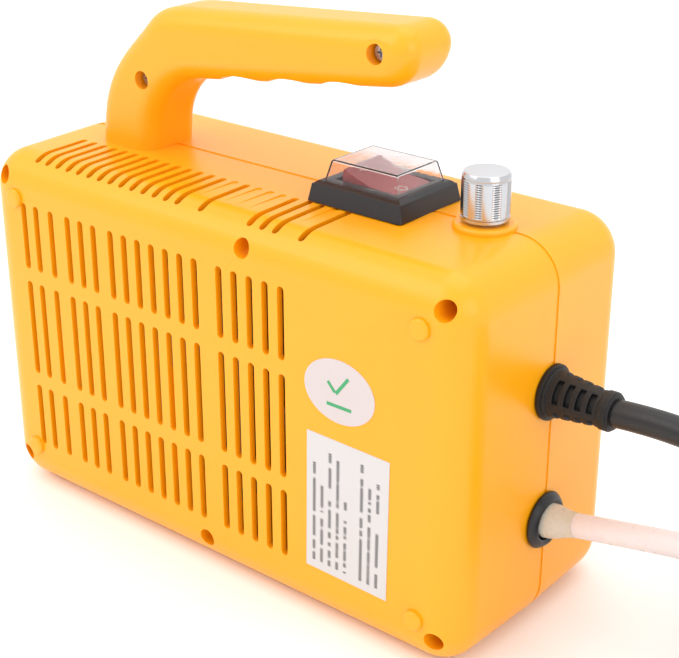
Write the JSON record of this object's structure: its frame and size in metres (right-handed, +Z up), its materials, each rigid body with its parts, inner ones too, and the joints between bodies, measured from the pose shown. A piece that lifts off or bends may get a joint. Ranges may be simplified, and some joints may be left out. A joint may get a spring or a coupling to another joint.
{
  "type": "steam cleaner",
  "caption": "Portable electric steam cleaner: moulded housing with a pistol handle, covered rocker switch, steam knob, mains cord and water suction hose.",
  "frame": {"origin": "middle of the flat base, in the parting plane of the two shells", "axes": "+X towards the end where the cord and the hose leave, +Y towards the plain front shell, +Z up"},
  "size_m": [0.514, 0.1383, 0.215],
  "materials": {
    "housing_abs": "gloss",
    "black_abs": "satin",
    "clear_pvc": "clear, glossy",
    "red_polycarbonate": "gloss",
    "turned_aluminium": "satin, knurled",
    "cast_aluminium": "as cast",
    "zinc_steel": "zinc plated",
    "brass": "machined",
    "copper_winding": "enamelled winding",
    "black_rubber": "matt, fine texture",
    "cord_pvc": "satin",
    "hose_silicone": "milky, translucent",
    "silicone_sleeve": "matt",
    "tie_nylon": "satin",
    "grey_nylon": "matt",
    "circuit_board": "solder mask",
    "lead_insulation": "satin",
    "label_film": "printed film"
  },
  "bodies": {
    "root": {"back_shell": "housing_abs", "front_shell": "housing_abs", "housing_screws": "zinc_steel", "handle_screws": "zinc_steel", "switch_bezel": "black_abs", "switch_body": "black_abs", "switch_terminals": "brass", "switch_cover": "clear_pvc", "potentiometer_body": "zinc_steel", "potentiometer_pins": "zinc_steel", "potentiometer_nut": "zinc_steel", "strain_relief": "black_rubber", "strain_relief_nut": "grey_nylon", "hose_grommet": "black_rubber", "steam_outlet": "brass", "outlet_nut": "brass", "heater_block": "cast_aluminium", "steam_pipe": "brass", "heater_nipple": "brass", "heater_terminals": "zinc_steel", "thermostat": "zinc_steel", "thermal_fuse": "zinc_steel", "fuse_clip": "zinc_steel", "heater_feet": "zinc_steel", "pump_body": "grey_nylon", "pump_spring": "zinc_steel", "pump_coil": "copper_winding", "pump_frame": "zinc_steel", "pump_mounts": "black_rubber", "outlet_sleeve": "silicone_sleeve", "inlet_sleeve": "silicone_sleeve", "sleeve_clamps": "zinc_steel", "inlet_fitting": "grey_nylon", "control_board": "circuit_board", "board_screws": "zinc_steel", "triac_heatsink": "cast_aluminium", "board_parts": "grey_nylon", "power_cord": "cord_pvc", "power_cord_coil": "cord_pvc", "cord_tie": "tie_nylon", "power_cord_tail": "cord_pvc", "power_plug": "cord_pvc", "plug_blades": "brass", "hose_cuff": "hose_silicone", "suction_hose": "hose_silicone", "suction_hose_coil": "hose_silicone", "hose_tie": "tie_nylon", "suction_hose_tail": "hose_silicone", "strainer": "grey_nylon", "mains_leads": "lead_insulation", "heater_leads": "lead_insulation", "oval_sticker": "label_film", "rating_label": "label_film"},
    "rocker": {"switch_rocker": "red_polycarbonate"},
    "lever": {"contact_lever": "brass"},
    "knob": {"steam_knob": "turned_aluminium", "potentiometer_shaft": "cast_aluminium"},
    "piston": {"pump_piston": "zinc_steel"}
  },
  "joints": [
    {"name": "rocker_toggle", "type": "hinge", "parent": "root", "child": "rocker", "pos_m": [0.0463, 0, 0.151], "axis": [0, -1, 0], "range_deg": [0, 24]},
    {"name": "lever_tilt", "type": "hinge", "parent": "root", "child": "lever", "pos_m": [0.0463, 0, 0.133], "axis": [0, -1, 0], "range_deg": [-12, 0]},
    {"name": "knob_turn", "type": "hinge", "parent": "root", "child": "knob", "pos_m": [0.09, 0, 0.15], "axis": [0, 0, 1], "range_deg": [0, 300]},
    {"name": "piston_stroke", "type": "slide", "parent": "root", "child": "piston", "axis": [-1, 0, 0], "range_m": [0, 0.004], "stiffness_N_per_m": 300, "deforming": ["pump_spring"]}
  ],
  "couplings": [
    {"joint": "lever_tilt", "follows": "rocker_toggle", "ratio": -0.5}
  ]
}
